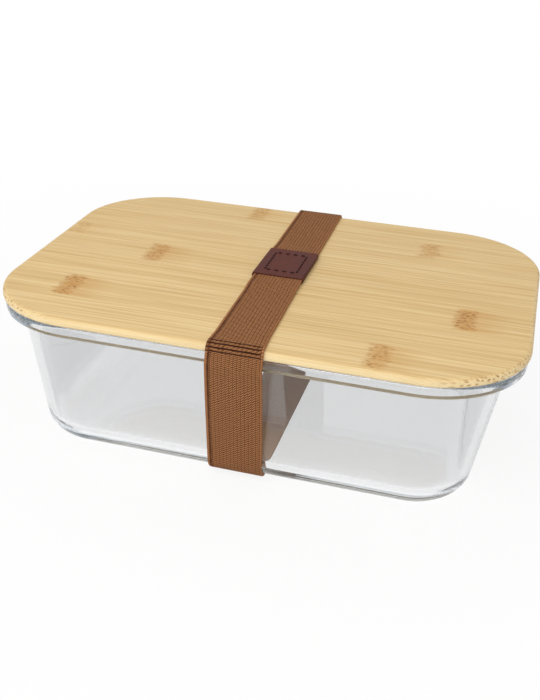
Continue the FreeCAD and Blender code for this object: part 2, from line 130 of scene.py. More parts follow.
class Web:
    """The nodes of one tree, with short calls that add and join them."""

    def __init__(self, tree: bpy.types.NodeTree) -> None:
        """Keep the tree that the nodes go into."""
        self.tree = tree

    def add(
        self, kind: str, inputs: Optional[dict[Union[str, int], Value]] = None, **settings: Any
    ) -> bpy.types.Node:
        """Add a node.

        Args:
            kind: The node's class name.
            inputs: Values or sockets for its inputs, by name or number.
            settings: Attributes of the node.

        Returns:
            The new node.
        """
        node = self.tree.nodes.new(kind)
        for name, setting in settings.items():
            setattr(node, name, setting)
        for key, value in (inputs or {}).items():
            self.feed(node.inputs[key], value)
        return node

    def feed(self, socket: Socket, value: Value) -> None:
        """Join a socket to another one, or set its own value.

        Args:
            socket: The socket that is fed.
            value: The other socket, or a value.
        """
        if isinstance(value, bpy.types.NodeSocket):
            self.tree.links.new(value, socket)
        else:
            socket.default_value = value

    def math(self, operation: str, *values: Value, clamp: bool = False) -> Socket:
        """Return the outcome of one sum on numbers."""
        node = self.add("ShaderNodeMath", dict(enumerate(values)), operation=operation, use_clamp=clamp)
        return node.outputs[0]

    def plus(self, first: Value, second: Value) -> Socket:
        """Return two numbers added."""
        return self.math("ADD", first, second)

    def minus(self, first: Value, second: Value) -> Socket:
        """Return the first number less the second."""
        return self.math("SUBTRACT", first, second)

    def times(self, first: Value, second: Value) -> Socket:
        """Return two numbers multiplied."""
        return self.math("MULTIPLY", first, second)

    def over(self, first: Value, second: Value) -> Socket:
        """Return the first number divided by the second."""
        return self.math("DIVIDE", first, second)

    def size(self, value: Value) -> Socket:
        """Return a number without its sign."""
        return self.math("ABSOLUTE", value)

    def phase(self, value: Value) -> Socket:
        """Return where a number lies between two whole ones, from -0.5 to 0.5."""
        return self.minus(self.math("FRACT", value), 0.5)

    def vector(self, operation: str, *values: Value) -> Socket:
        """Return the outcome of one sum on vectors."""
        return self.add("ShaderNodeVectorMath", dict(enumerate(values)), operation=operation).outputs[0]

    def parts(self, vector: Socket) -> list[Socket]:
        """Return the three numbers of a vector."""
        return list(self.add("ShaderNodeSeparateXYZ", {0: vector}).outputs)

    def joined(self, x: Value, y: Value, z: Value) -> Socket:
        """Return a vector made of three numbers."""
        return self.add("ShaderNodeCombineXYZ", {0: x, 1: y, 2: z}).outputs[0]

    def mix(self, share: Value, first: Value, second: Value) -> Socket:
        """Lay a second colour over a first one.

        Args:
            share: How much of the second colour shows, from 0 to 1.
            first: The colour underneath.
            second: The colour on top.

        Returns:
            The mixed colour.
        """
        inputs = {0: share, 6: first, 7: second}
        return self.add("ShaderNodeMix", inputs, data_type="RGBA", clamp_factor=True).outputs[2]

    def span(self, value: Value, low: float, high: float, start: float = 0.0, end: float = 1.0) -> Socket:
        """Return a value eased from one range into another, held at both ends."""
        inputs = {0: value, 1: low, 2: high, 3: start, 4: end}
        return self.add("ShaderNodeMapRange", inputs, interpolation_type="SMOOTHSTEP", clamp=True).outputs[0]

    def noise(self, at: Socket, scale: float, detail: float = 3.0, rough: float = 0.55) -> Socket:
        """Return soft noise between 0 and 1."""
        inputs = {"Vector": at, "Scale": scale, "Detail": detail, "Roughness": rough}
        return self.add("ShaderNodeTexNoise", inputs).outputs[0]

    def cells(self, at: Socket, scale: float, loose: float = 1.0) -> Socket:
        """Return the distance to the nearest of scattered points."""
        node = self.add("ShaderNodeTexVoronoi", {"Vector": at, "Scale": scale, "Randomness": loose})
        return node.outputs[0]

    def painted(self, name: str) -> Socket:
        """Return a number that the mesh carries on its vertices."""
        return self.add("ShaderNodeAttribute", attribute_name=name).outputs["Fac"]

    def millimetres(self) -> Socket:
        """Return the place on the object in millimetres."""
        place = self.add("ShaderNodeTexCoord").outputs["Object"]
        return self.vector("MULTIPLY", place, IN_MM)


class Group:
    """A shader node group with named sockets, built once and placed in materials."""

    SURFACE = {"Color": Kind.COLOR, "Height": Kind.NUMBER, "Roughness": Kind.NUMBER}

    def __init__(self, name: str, takes: tuple[str, ...], gives: dict[str, Kind]) -> None:
        """Make the group and its sockets.

        Args:
            name: The group's name.
            takes: Names of the numbers that it is given.
            gives: Names of what it puts out, each with its kind of socket.
        """
        tree = bpy.data.node_groups.new(name, "ShaderNodeTree")
        for label in takes:
            tree.interface.new_socket(label, in_out="INPUT", socket_type=Kind.NUMBER.value)
        for label, kind in gives.items():
            tree.interface.new_socket(label, in_out="OUTPUT", socket_type=kind.value)
        self.web = Web(tree)
        self.given = self.web.add("NodeGroupInput").outputs
        self.result = self.web.add("NodeGroupOutput").inputs

    def give(self, **values: Socket) -> None:
        """Join what the group puts out, by name in small letters."""
        for label, value in values.items():
            self.web.feed(self.result[label.title()], value)


class Grain(Group):
    """Bamboo strip: long fibres, pale and dark streaks, end-grain dots and one stippled node."""

    DEEP_TONE = srgb(215, 182, 124)
    PALE_TONE = srgb(230, 200, 144)
    DARK_STREAK = srgb(205, 168, 107)
    PALE_FIBRE = srgb(240, 215, 162)
    DARK_FIBRE = srgb(200, 163, 105)
    PALE_SIDE = srgb(250, 232, 188)
    BUNDLE_BROWN = srgb(164, 116, 64)
    SMEAR_BROWN = srgb(203, 152, 84)
    RING_BROWN = srgb(196, 142, 72)
    SPECK_BROWN = srgb(150, 98, 44)
    SEED_STEP = 37.0

    def __init__(self) -> None:
        """Build the grain from the place on the board."""
        super().__init__("bamboo_grain", ("Node X", "Node Y", "Tone", "Mark", "Seed"), self.SURFACE)
        web = self.web
        self.x, self.y, self.z = web.parts(web.millimetres())
        self.own = web.times(self.given["Seed"], self.SEED_STEP)
        self.away = web.minus(self.x, self.given["Node X"])
        self.lane = self.swayed()
        self.streak = web.noise(self.stretched(150.0, 1.2), 1.0, 2.0)
        self.fine = web.noise(self.stretched(60.0, 0.42), 1.0, 2.0)
        self.fibre = web.span(web.cells(self.stretched(70.0, 1.1), 1.0, 0.8), 0.18, 0.46, 1.0, 0.0)
        color = self.with_node(self.with_fibres(self.streaked()))
        height = web.plus(web.times(self.fine, 0.6), web.times(self.fibre, -0.5))
        rough = web.span(self.streak, 0.2, 0.8, 0.45, 0.6)
        self.give(color=color, height=height, roughness=rough)

    def swayed(self) -> Socket:
        """Bend the fibres, more so near the node.

        Returns:
            The place across the strip that the bent fibres follow, in millimetres.
        """
        web = self.web
        near = web.span(web.size(self.away), 2.0, 16.0, 1.0, 0.0)
        bow = web.noise(web.joined(web.times(self.x, 0.03), web.times(self.y, 0.2), self.own), 1.0, 2.0)
        sway = web.times(web.minus(bow, 0.5), web.plus(web.times(near, 2.5), 1.5))
        return web.plus(web.plus(self.y, self.own), sway)

    def stretched(self, length: float, width: float) -> Socket:
        """Return a place whose pattern is drawn out along the strip, by its grains' length and width."""
        web = self.web
        return web.joined(web.over(self.x, length), web.over(self.lane, width), web.over(self.z, width))

    def streaked(self) -> Socket:
        """Colour the strip with broad tones, streaks and fine lines.

        Returns:
            The strip's colour.
        """
        web = self.web
        broad = web.noise(web.joined(web.over(self.x, 160.0), web.over(self.y, 8.0), self.own), 1.0, 2.0)
        tone = web.math("ADD", broad, self.given["Tone"], clamp=True)
        color = web.mix(tone, self.DEEP_TONE, self.PALE_TONE)
        color = web.mix(web.span(self.streak, 0.42, 0.7, 0.0, 0.5), color, self.DARK_STREAK)
        color = web.mix(web.span(self.fine, 0.48, 0.7, 0.0, 0.7), color, self.PALE_FIBRE)
        return web.mix(web.span(self.fine, 0.32, 0.48, 0.6, 0.0), color, self.DARK_FIBRE)

    def with_fibres(self, color: Socket) -> Socket:
        """Lay the fibre bundles over a colour, strongest where they end, on sides that are paler.

        Args:
            color: The colour underneath.

        Returns:
            The colour with its fibres.
        """
        web = self.web
        color = web.mix(web.times(web.painted("side_grain"), 0.5), color, self.PALE_SIDE)
        end = web.span(web.painted("end_grain"), 0.1, 0.6)
        strength = web.plus(web.times(end, 0.7), 0.12)
        return web.mix(web.times(self.fibre, strength), color, self.BUNDLE_BROWN)

    def with_node(self, color: Socket) -> Socket:
        """Lay the strip's one node over a colour: a smear to one side, a ring and its specks.

        Args:
            color: The colour underneath.

        Returns:
            The colour with the node.
        """
        web = self.web
        wave = web.noise(web.joined(self.own, web.times(self.y, 0.25), 0.0), 1.0, 2.0)
        past = web.plus(self.away, web.times(web.minus(wave, 0.5), 12.0))
        aside = web.size(web.minus(self.y, self.given["Node Y"]))
        beside = web.times(web.span(aside, 7.5, 11.5, 1.0, 0.0), self.given["Mark"])
        ring = web.times(web.span(web.size(past), 2.0, 5.5, 1.0, 0.0), beside)
        tail = web.times(web.span(past, -4.0, 0.0), web.span(past, 3.0, 20.0, 1.0, 0.0))
        smear = web.times(web.times(tail, beside), web.span(self.streak, 0.3, 0.65, 0.35, 1.0))
        spot = web.joined(web.times(self.x, 0.45), web.times(self.lane, 1.25), web.times(self.z, 0.6))
        speck = web.times(web.span(web.cells(spot, 1.0), 0.15, 0.5, 1.0, 0.0), ring)
        color = web.mix(web.times(smear, 0.5), color, self.SMEAR_BROWN)
        color = web.mix(web.times(ring, 0.48), color, self.RING_BROWN)
        return web.mix(web.times(speck, 0.78), color, self.SPECK_BROWN)


class Weave(Group):
    """Elastic webbing: slanted yarn floats in narrow columns, with piped edges and creases at the folds."""

    # The darkest brown is painted shade in the gaps between the yarn floats. The palest is the yarn's brown
    # lifted to a painted highlight on the float tops.
    GAP_SHADE_BROWN = srgb(52, 25, 12)
    YARN_HIGHLIGHT_BROWN = srgb(195, 134, 87)
    PIPING_BROWN = srgb(140, 91, 58)
    # Painted shade in the ditch beside the left edge.
    DITCH_SHADE_BROWN = srgb(84, 46, 28)
    FADED_BROWN = srgb(182, 127, 86)
    # Painted shade in the creases at the folds.
    CREASE_SHADE_BROWN = srgb(56, 29, 17)
    # Painted light: a pale tan on the strap's inner side stands in for light through the glass and for the
    # glass's white reflection haze.
    INNER_SIDE_PAINTED_LIGHT = srgb(220, 183, 159)
    PIPING_PITCH = 1.1
    CREASE_PITCH = 1.3
    CREASE_HEIGHT = 0.26

    def __init__(self) -> None:
        """Build the weave from the band's own flat map, laid out in millimetres."""
        takes = ("Half Width", "Half Length", "Pitch", "Column", "Fold")
        super().__init__("elastic_weave", takes, self.SURFACE)
        web = self.web
        flat = web.add("ShaderNodeUVMap", uv_map="band").outputs[0]
        self.across, self.along, _ = web.parts(web.vector("MULTIPLY", flat, IN_MM))
        wander = web.noise(web.joined(self.across, self.along, 0.0), 0.3, 2.0)
        self.uneven = web.times(web.minus(wander, 0.5), 0.4)
        self.past_fold = self.from_fold()

        left = web.plus(self.given["Half Width"], self.across)
        right = web.minus(self.given["Half Width"], self.across)
        left_cord = web.span(left, 0.8, 1.1, 1.0, 0.0)
        right_cord = web.span(right, 0.5, 0.8, 1.0, 0.0)
        self.selvedge = web.math("MAXIMUM", left_cord, right_cord)
        self.ditch = web.times(web.span(left, 0.8, 1.1), web.span(left, 1.4, 2.2, 1.0, 0.0))

        folded = web.span(web.size(self.past_fold), 2.1, 2.9, 1.0, 0.0)
        self.pleat = web.times(folded, web.span(right, 0.5, 1.6))
        bent = web.plus(self.past_fold, web.times(self.uneven, 0.5))
        crease = web.size(web.phase(web.over(bent, self.CREASE_PITCH)))
        self.slit = web.times(web.span(crease, 0.05, 0.23, 1.0, 0.0), self.pleat)

        height = self.creased(self.edged(self.floats()))
        rough = web.span(height, 0.0, 1.0, 0.95, 0.75)
        self.give(color=self.dyed(height), height=height, roughness=rough)

    def from_fold(self) -> Socket:
        """Measure from the folds over the lid's two long edges.

        Returns:
            The distance past the nearer fold, on the way down, in millimetres.
        """
        web, half = self.web, self.given["Half Length"]
        to_base = web.size(web.minus(self.along, half))
        return web.minus(web.minus(half, to_base), self.given["Fold"])

    def floats(self) -> Socket:
        """Weave the yarn floats, row by row in each column.

        Returns:
            Their height, from 0 to 1.
        """
        web = self.web
        lane = web.over(web.plus(self.across, web.times(self.uneven, 0.5)), self.given["Column"])
        inside = web.phase(lane)
        packed = web.span(self.past_fold, 0.0, 15.0, 0.0, 4.0)
        rows = web.plus(web.over(web.plus(self.along, self.uneven), self.given["Pitch"]), packed)
        twill = web.plus(web.times(inside, 1.3), web.times(web.math("FLOOR", lane), 0.8))
        row = web.size(web.phase(web.plus(rows, twill)))
        yarn = web.span(row, 0.1, 0.42, 1.0, 0.0)
        off = web.size(inside)
        width = web.times(web.span(off, 0.3, 0.5, 1.0, 0.2), web.span(off, 0.0, 0.14, 0.6, 1.0))
        return web.times(yarn, width)

    def edged(self, floats: Socket) -> Socket:
        """Set the floats between piped edges, with a ditch beside the left one.

        Args:
            floats: The height of the floats.

        Returns:
            The height with its edges.
        """
        web = self.web
        cord = web.size(web.math("SINE", web.times(self.along, math.pi / self.PIPING_PITCH)))
        piped = web.plus(web.times(cord, 0.6), 0.08)
        body = web.times(floats, web.minus(1.0, web.times(self.ditch, 0.8)))
        return web.plus(web.times(body, web.minus(1.0, self.selvedge)), web.times(self.selvedge, piped))

    def creased(self, height: Socket) -> Socket:
        """Press the band flatter at the folds and cut the creases into it.

        Args:
            height: The height of the weave.

        Returns:
            The height with its creases.
        """
        web = self.web
        down = web.times(web.times(self.pleat, 0.6), web.minus(self.CREASE_HEIGHT, height))
        return web.minus(web.plus(height, down), web.times(self.slit, 1.2))

    def dyed(self, height: Socket) -> Socket:
        """Colour the band by its height, with painted shade in its gaps, ditch and creases, a painted
        highlight on its float tops, its edges, faded spots, and painted light on its inner side.

        Args:
            height: The height of the weave.

        Returns:
            The band's colour.
        """
        web = self.web
        faded = web.noise(web.joined(self.across, self.along, 3.0), 0.9)
        # Painted shade in the low gaps, and a painted highlight on the high float tops.
        color = web.mix(web.span(height, 0.0, 0.75), self.GAP_SHADE_BROWN, self.YARN_HIGHLIGHT_BROWN)
        color = web.mix(web.times(self.selvedge, 0.3), color, self.PIPING_BROWN)
        # Painted shade darkens the ditch beside the left edge.
        color = web.mix(web.times(self.ditch, 0.6), color, self.DITCH_SHADE_BROWN)
        color = web.mix(web.span(faded, 0.4, 0.75, 0.0, 0.3), color, self.FADED_BROWN)
        # Painted shade darkens the creases at the folds.
        color = web.mix(web.times(self.slit, 0.85), color, self.CREASE_SHADE_BROWN)
        # Painted light and painted reflection haze on the strap's inner side.
        return web.mix(web.times(web.painted("inner_side"), 0.85), color, self.INNER_SIDE_PAINTED_LIGHT)


class Handling(Group):
    """Faint smudges and fine grain that handling leaves on smooth pieces."""

    def __init__(self) -> None:
        """Build the marks from the place on the object."""
        gives = {"Roughness": Kind.NUMBER, "Height": Kind.NUMBER, "Mask": Kind.NUMBER}
        super().__init__("handling_marks", ("Low", "High", "Grain"), gives)
        web = self.web
        place = web.millimetres()
        mask = web.span(web.noise(place, 0.05), 0.35, 0.7)
        gap = web.minus(self.given["High"], self.given["Low"])
        rough = web.plus(self.given["Low"], web.times(mask, gap))
        grain = web.times(web.noise(place, 1.6, rough=0.6), self.given["Grain"])
        self.give(roughness=rough, height=grain, mask=mask)


# Finishes


@dataclass(frozen=True)
class Relief:
    """A finish's bump: how far a height of 1 stands up, in millimetres, and how much of it shows."""

    distance: float
    strength: float


def set_inputs(node: bpy.types.Node, values: dict[str, Value]) -> None:
    """Set a node's own values by name, with underscores for the spaces."""
    for label, value in values.items():
        node.inputs[label.replace("_", " ")].default_value = value


class Finish:
    """A material on one principled shader, with the groups that feed it."""

    def __init__(self, name: str) -> None:
        """Make the material and find its shader.

        Args:
            name: The material's name.
        """
        self.material = bpy.data.materials.new(name)
        self.material.use_nodes = True
        self.web = Web(self.material.node_tree)
        self.shader = self.material.node_tree.nodes["Principled BSDF"]
        self.output = self.material.node_tree.nodes["Material Output"]

    def plain(self, **values: Value) -> "Finish":
        """Set the shader's own sockets and return this finish."""
        set_inputs(self.shader, values)
        return self

    def placed(self, group: Group, **values: float) -> dict[str, Socket]:
        """Place a group in this material.

        Args:
            group: The group.
            values: What it is given here.

        Returns:
            What it puts out, by name.
        """
        node = self.web.add("ShaderNodeGroup", node_tree=group.web.tree)
        set_inputs(node, values)
        return {socket.name: socket for socket in node.outputs}

    def drive(self, label: str, socket: Socket) -> None:
        """Let a socket drive one of the shader's inputs."""
        self.web.feed(self.shader.inputs[label], socket)

    def emboss(self, height: Socket, relief: Relief) -> None:
        """Feed a height to the shader's normal.

        Args:
            height: The height over the surface.
            relief: How it stands up.
        """
        inputs = {"Height": height, "Distance": relief.distance * MM, "Strength": relief.strength}
        self.drive("Normal", self.web.add("ShaderNodeBump", inputs).outputs[0])


@dataclass(frozen=True)
class Bamboo:
    """Finish of one strip: its number, where its node lies, how pale it is and how dark the node."""

    number: int
    node: tuple[float, float]
    tone: float
    mark: float
    gloss: float = 0.22
    relief: Relief = Relief(0.05, 0.5)

    def material(self, grain: Grain) -> bpy.types.Material:
        """Make a strip of bamboo with its own node and streaks.

        Args:
            grain: The grain of all strips.

        Returns:
            The material.
        """
        finish = Finish(f"bamboo_{self.number}").plain(Specular_IOR_Level=self.gloss)
        x, y = self.node
        seed = float(self.number)
        fibres = finish.placed(grain, Node_X=x, Node_Y=y, Tone=self.tone, Mark=self.mark, Seed=seed)
        finish.drive("Base Color", fibres["Color"])
        finish.drive("Roughness", fibres["Roughness"])
        finish.emboss(fibres["Height"], self.relief)
        return finish.material


@dataclass(frozen=True)
class ClearGlass:
    """Finish of the pressed glass tray, tinted clearer at its base than at its walls: the clear base is
    painted light on the bright band there, and the walls' darker tint is partly the glass's own grey and
    partly painted shade.

    The base's tint turns into the walls' between two heights, in millimetres.
    """

    wall_tint_and_shade: Color = (0.785, 0.79, 0.795, 1.0)
    base_tint_and_light: Color = (0.97, 0.975, 0.98, 1.0)
    base_height: tuple[float, float] = (7.0, 17.0)
    depth_tint: Color = (0.56, 0.66, 0.74, 1.0)
    density: float = 3.0
    index: float = 1.5
    smudge: float = 0.02

    def material(self, handling: Handling) -> bpy.types.Material:
        """Make clear glass with the faintest smudges, which lets the lamp's light straight through.

        Args:
            handling: The marks of handling.

        Returns:
            The material.
        """
        finish = Finish("clear_glass").plain(Transmission_Weight=1.0, IOR=self.index, Metallic=0.0)
        marks = finish.placed(handling, Low=0.0, High=self.smudge, Grain=0.0)
        finish.drive("Roughness", marks["Roughness"])
        web = finish.web
        # Painted light: the base is tinted clearer to brighten its band. The walls' darker tint is partly
        # painted shade.
        high = web.span(web.parts(web.millimetres())[2], *self.base_height)
        finish.drive("Base Color", web.mix(high, self.base_tint_and_light, self.wall_tint_and_shade))
        light = web.add("ShaderNodeLightPath").outputs["Is Shadow Ray"]
        passed = web.add("ShaderNodeBsdfTransparent")
        both = web.add("ShaderNodeMixShader", {0: light, 1: finish.shader.outputs[0], 2: passed.outputs[0]})
        web.feed(finish.output.inputs["Surface"], both.outputs[0])
        depth = web.add("ShaderNodeVolumeAbsorption", {"Color": self.depth_tint, "Density": self.density})
        web.feed(finish.output.inputs["Volume"], depth.outputs[0])
        return finish.material


@dataclass(frozen=True)
class Silicone:
    """Finish of the seal."""

    # The seal's colour is lifted close to white as painted light, to brighten it in the lid's shade.
    color: Color = srgb(253, 236, 200)
    clear: float = 0.02
    index: float = 1.41
    relief: Relief = Relief(0.03, 0.3)

    def material(self, handling: Handling) -> bpy.types.Material:
        """Make cloudy soft silicone.

        Args:
            handling: The marks of handling.

        Returns:
            The material.
        """
        finish = Finish("cloudy_silicone")
        finish.plain(Base_Color=self.color, Transmission_Weight=self.clear, IOR=self.index)
        marks = finish.placed(handling, Low=0.35, High=0.55, Grain=1.0)
        finish.drive("Roughness", marks["Roughness"])
        finish.emboss(marks["Height"], self.relief)
        return finish.material


@dataclass(frozen=True)
class Webbing:
    """Finish of the elastic strap, with the sizes of its band and its weave in millimetres."""

    half_width: float
    half_length: float
    pitch: float = 1.25
    column: float = 1.35
    fold: float = 75.9
    gloss: float = 0.12
    relief: Relief = Relief(0.25, 0.9)

    def material(self, weave: Weave) -> bpy.types.Material:
        """Make the woven brown elastic.

        Args:
            weave: The weave of the band.

        Returns:
            The material.
        """
        finish = Finish("woven_elastic").plain(Specular_IOR_Level=self.gloss)
        yarn = finish.placed(
            weave,
            Half_Width=self.half_width,
            Half_Length=self.half_length,
            Pitch=self.pitch,
            Column=self.column,
            Fold=self.fold,
        )
        finish.drive("Base Color", yarn["Color"])
        finish.drive("Roughness", yarn["Roughness"])
        finish.emboss(yarn["Height"], self.relief)
        return finish.material


@dataclass(frozen=True)
class Leather:
    """Finish of the dark patch."""

    deep: Color = srgb(77, 36, 29)
    worn: Color = srgb(100, 54, 45)
    pebbles: float = 1.3
    gloss: float = 0.07
    relief: Relief = Relief(0.08, 0.5)

    def material(self, handling: Handling) -> bpy.types.Material:
        """Make smooth dark leather with pebbled grain and paler wear.

        Args:
            handling: The marks of handling.

        Returns:
            The material.
        """
        finish = Finish("dark_leather").plain(Specular_IOR_Level=self.gloss)
        web = finish.web
        crease = web.span(web.cells(web.millimetres(), self.pebbles), 0.0, 0.55)
        marks = finish.placed(handling, Low=0.42, High=0.58, Grain=0.35)
        color = web.mix(marks["Mask"], self.deep, self.worn)
        finish.drive("Base Color", web.mix(web.times(crease, 0.25), color, self.deep))
        finish.drive("Roughness", marks["Roughness"])
        finish.emboss(web.minus(marks["Height"], crease), self.relief)
        return finish.material


@dataclass(frozen=True)
class Thread:
    """Finish of the sewing thread."""

    deep: Color = srgb(38, 21, 21)
    pale: Color = srgb(66, 40, 38)
    twist: float = 14.0
    gloss: float = 0.12
    relief: Relief = Relief(0.05, 0.6)

    def material(self, handling: Handling) -> bpy.types.Material:
        """Make dark twisted thread.

        Args:
            handling: The marks of handling.

        Returns:
            The material.
        """
        finish = Finish("dark_thread").plain(Specular_IOR_Level=self.gloss)
        web = finish.web
        x, y, _ = web.parts(web.millimetres())
        plies = web.math("SINE", web.times(web.plus(x, y), self.twist))
        marks = finish.placed(handling, Low=0.6, High=0.8, Grain=0.0)
        finish.drive("Base Color", web.mix(web.span(plies, -1.0, 1.0, 0.0, 0.6), self.deep, self.pale))
        finish.drive("Roughness", marks["Roughness"])
        finish.emboss(plies, self.relief)
        return finish.material


# Shaping calls that the pieces share


def piece_from(
    shape: bmesh.types.BMesh, name: str, material: bpy.types.Material, smooth: float = 40.0
) -> bpy.types.Object:
    """Turn a bmesh into an object of the scene, with its level faces shaded flat.

    Args:
        shape: The finished bmesh, which is freed.
        name: The piece's name.
        material: Its finish.
        smooth: The widest angle between faces that still shade as one surface, in degrees.

    Returns:
        The new object, at the origin.
    """
    mesh = bpy.data.meshes.new(name)
    shape.normal_update()
    for face in shape.faces:
        face.smooth = abs(face.normal.z) < LEVEL
    for edge in shape.edges:
        if len(edge.link_faces) == 2:
            edge.smooth = edge.calc_face_angle(0.0) < math.radians(smooth)
    shape.to_mesh(mesh)
    shape.free()
    mesh.materials.append(material)
    piece = bpy.data.objects.new(name, mesh)
    bpy.context.scene.collection.objects.link(piece)
    return piece


def block(width: float, length: float, height: float) -> bmesh.types.BMesh:
    """Make a box about the origin.

    Args:
        width: Its size along X, in millimetres.
        length: Its size along Y.
        height: Its size along Z.

    Returns:
        The box.
    """
    shape = bmesh.new()
    bmesh.ops.create_cube(shape, size=1.0)
    bmesh.ops.scale(shape, vec=Vector((width, length, height)) * MM, verts=shape.verts)
    return shape


def round_off(shape: bmesh.types.BMesh, items: list, what: Rounding, offset: float, segments: int) -> None:
    """Round edges or corners of a shape.

    Args:
        shape: The shape.
        items: The edges or vertices.
        what: Which of the two they are.
        offset: How far from the edge or corner the rounding starts, in millimetres.
        segments: How many facets make up the rounding.
    """
    bmesh.ops.bevel(
        shape,
        geom=items,
        offset=offset * MM,
        offset_type="OFFSET",
        segments=segments,
        profile=0.5,
        affect=what.value,
        material=-1,
    )


def fill_holes(shape: bmesh.types.BMesh) -> None:
    """Close every open loop of edges with a face."""
    open_edges = [edge for edge in shape.edges if edge.is_boundary]
    bmesh.ops.holes_fill(shape, edges=open_edges, sides=0)


def end_faces(shape: bmesh.types.BMesh) -> list[bmesh.types.BMFace]:
    """Return the faces at the two ends of a shape along Y."""
    return [face for face in shape.faces if abs(face.normal.y) > 0.9]


def edges_along(shape: bmesh.types.BMesh, axis: Axis, least: float) -> list[bmesh.types.BMEdge]:
    """Return the edges that run further along an axis than a length in millimetres."""
    ends = [(edge, edge.verts[0].co[axis.value], edge.verts[1].co[axis.value]) for edge in shape.edges]
    return [edge for edge, first, second in ends if abs(first - second) > least * MM]


def verts_of(geometry: list) -> list[bmesh.types.BMVert]:
    """Return the vertices among a bmesh operator's geometry."""
    return [item for item in geometry if isinstance(item, bmesh.types.BMVert)]


def edges_of(geometry: list) -> list[bmesh.types.BMEdge]:
    """Return the edges among a bmesh operator's geometry."""
    return [item for item in geometry if isinstance(item, bmesh.types.BMEdge)]


@dataclass(frozen=True)
class Corner:
    """One corner of a turned section: how far in from the lid's edge, how high, and how round."""

    inset: float
    height: float
    radius: float = 0.0


@dataclass(frozen=True)
class Plan:
    """The rounded rectangle that the tray and the lid share, in millimetres.

    A section stops short of the corners' axes by the core. Guards are narrow faces beside a rounding, which
    keep the long flats flat. A rounding has a facet for every facet angle, in degrees, and at least a few.
    """

    length: float = 210.0
    width: float = 150.5
    corner: float = 39.0
    core: float = 2.0
    steps: int = 30
    guard: float = 0.4
    flat_guard: float = 0.8
    facet_angle: float = 7.5
    least_facets: int = 4

    @property
    def middle(self) -> float:
        """Return how far in from the edge a section ends, short of the corners' axes."""
        return self.corner - self.core

    def guarded(self, corners: list[Corner]) -> list[Corner]:
        """Add a point on the straight just outside each rounding, so that long flats shade flat.

        Args:
            corners: The section's corners in order.

        Returns:
            The corners with the points between them.
        """
        spots = [Vector((item.inset, item.height)) for item in corners]
        reach = [0.0] * len(corners)
        for index in range(1, len(corners) - 1):
            turn = (spots[index] - spots[index - 1]).angle(spots[index + 1] - spots[index])
            reach[index] = corners[index].radius * math.tan(turn / 2)
        result = [corners[0]]
        for index in range(1, len(corners)):
            run = spots[index] - spots[index - 1]
            if run.length - reach[index - 1] - reach[index] > 4 * self.guard:
                along = run.normalized()
                if reach[index - 1] > 0.0:
                    result.append(Corner(*(spots[index - 1] + along * (reach[index - 1] + self.guard))))
                if reach[index] > 0.0:
                    result.append(Corner(*(spots[index] - along * (reach[index] + self.guard))))
            result.append(corners[index])
        return result

    def draw(self, shape: bmesh.types.BMesh, sharp: list[Corner]) -> None:
        """Draw a section at the right-hand end and round its corners.

        Args:
            shape: The empty bmesh that it goes into.
            sharp: The section's corners in order.
        """
        corners = self.guarded(sharp)
        start = -(self.width / 2 - self.corner)
        places = [Vector((self.length / 2 - item.inset, start, item.height)) * MM for item in corners]
        verts = [shape.verts.new(place) for place in places]
        for first, second in zip(verts, verts[1:]):
            shape.edges.new((first, second))
        for index in range(1, len(corners) - 1):
            if corners[index].radius <= 0.0:
                continue
            before = places[index] - places[index - 1]
            after = places[index + 1] - places[index]
            turn = before.angle(after)
            offset = corners[index].radius * math.tan(turn / 2)
            segments = max(self.least_facets, round(math.degrees(turn) / self.facet_angle))
            round_off(shape, [verts[index]], Rounding.CORNERS, offset, segments)

    def sweep(self, shape: bmesh.types.BMesh) -> None:
        """Carry the section in the bmesh once round the outline and close it.

        Args:
            shape: The bmesh that holds the section.
        """
        across = self.length / 2 - self.corner
        deep = self.width / 2 - self.corner
        front = list(shape.edges)
        for centre, run in (
            ((across, deep), (0, 2 * deep)),
            ((-across, deep), (-2 * across, 0)),
            ((-across, -deep), (0, -2 * deep)),
            ((across, -deep), (2 * across, 0)),
        ):
            grown = bmesh.ops.extrude_edge_only(shape, edges=front)["geom"]
            ends = set(verts_of(grown))
            bmesh.ops.translate(shape, vec=Vector((*run, 0)) * MM, verts=list(ends))
            front = [edge for edge in edges_of(grown) if set(edge.verts) <= ends]
            turned = bmesh.ops.spin(
                shape,
                geom=list(ends) + front,
                cent=Vector((*centre, 0)) * MM,
                axis=(0, 0, 1),
                angle=math.pi / 2,
                steps=self.steps,
            )["geom_last"]
            front = edges_of(turned)
        bmesh.ops.remove_doubles(shape, verts=shape.verts, dist=WELD)
        fill_holes(shape)
        flats = [face for face in shape.faces if len(face.verts) > 4]
        bmesh.ops.inset_individual(shape, faces=flats, thickness=self.flat_guard * MM, use_even_offset=True)
        bmesh.ops.recalc_face_normals(shape, faces=shape.faces)

    def turned(self, sharp: list[Corner]) -> bmesh.types.BMesh:
        """Make the closed shape of a section that runs round the plan.

        Args:
            sharp: The section's corners in order.

        Returns:
            The shape.
        """
        shape = bmesh.new()
        self.draw(shape, sharp)
        self.sweep(shape)
        return shape


# Pieces


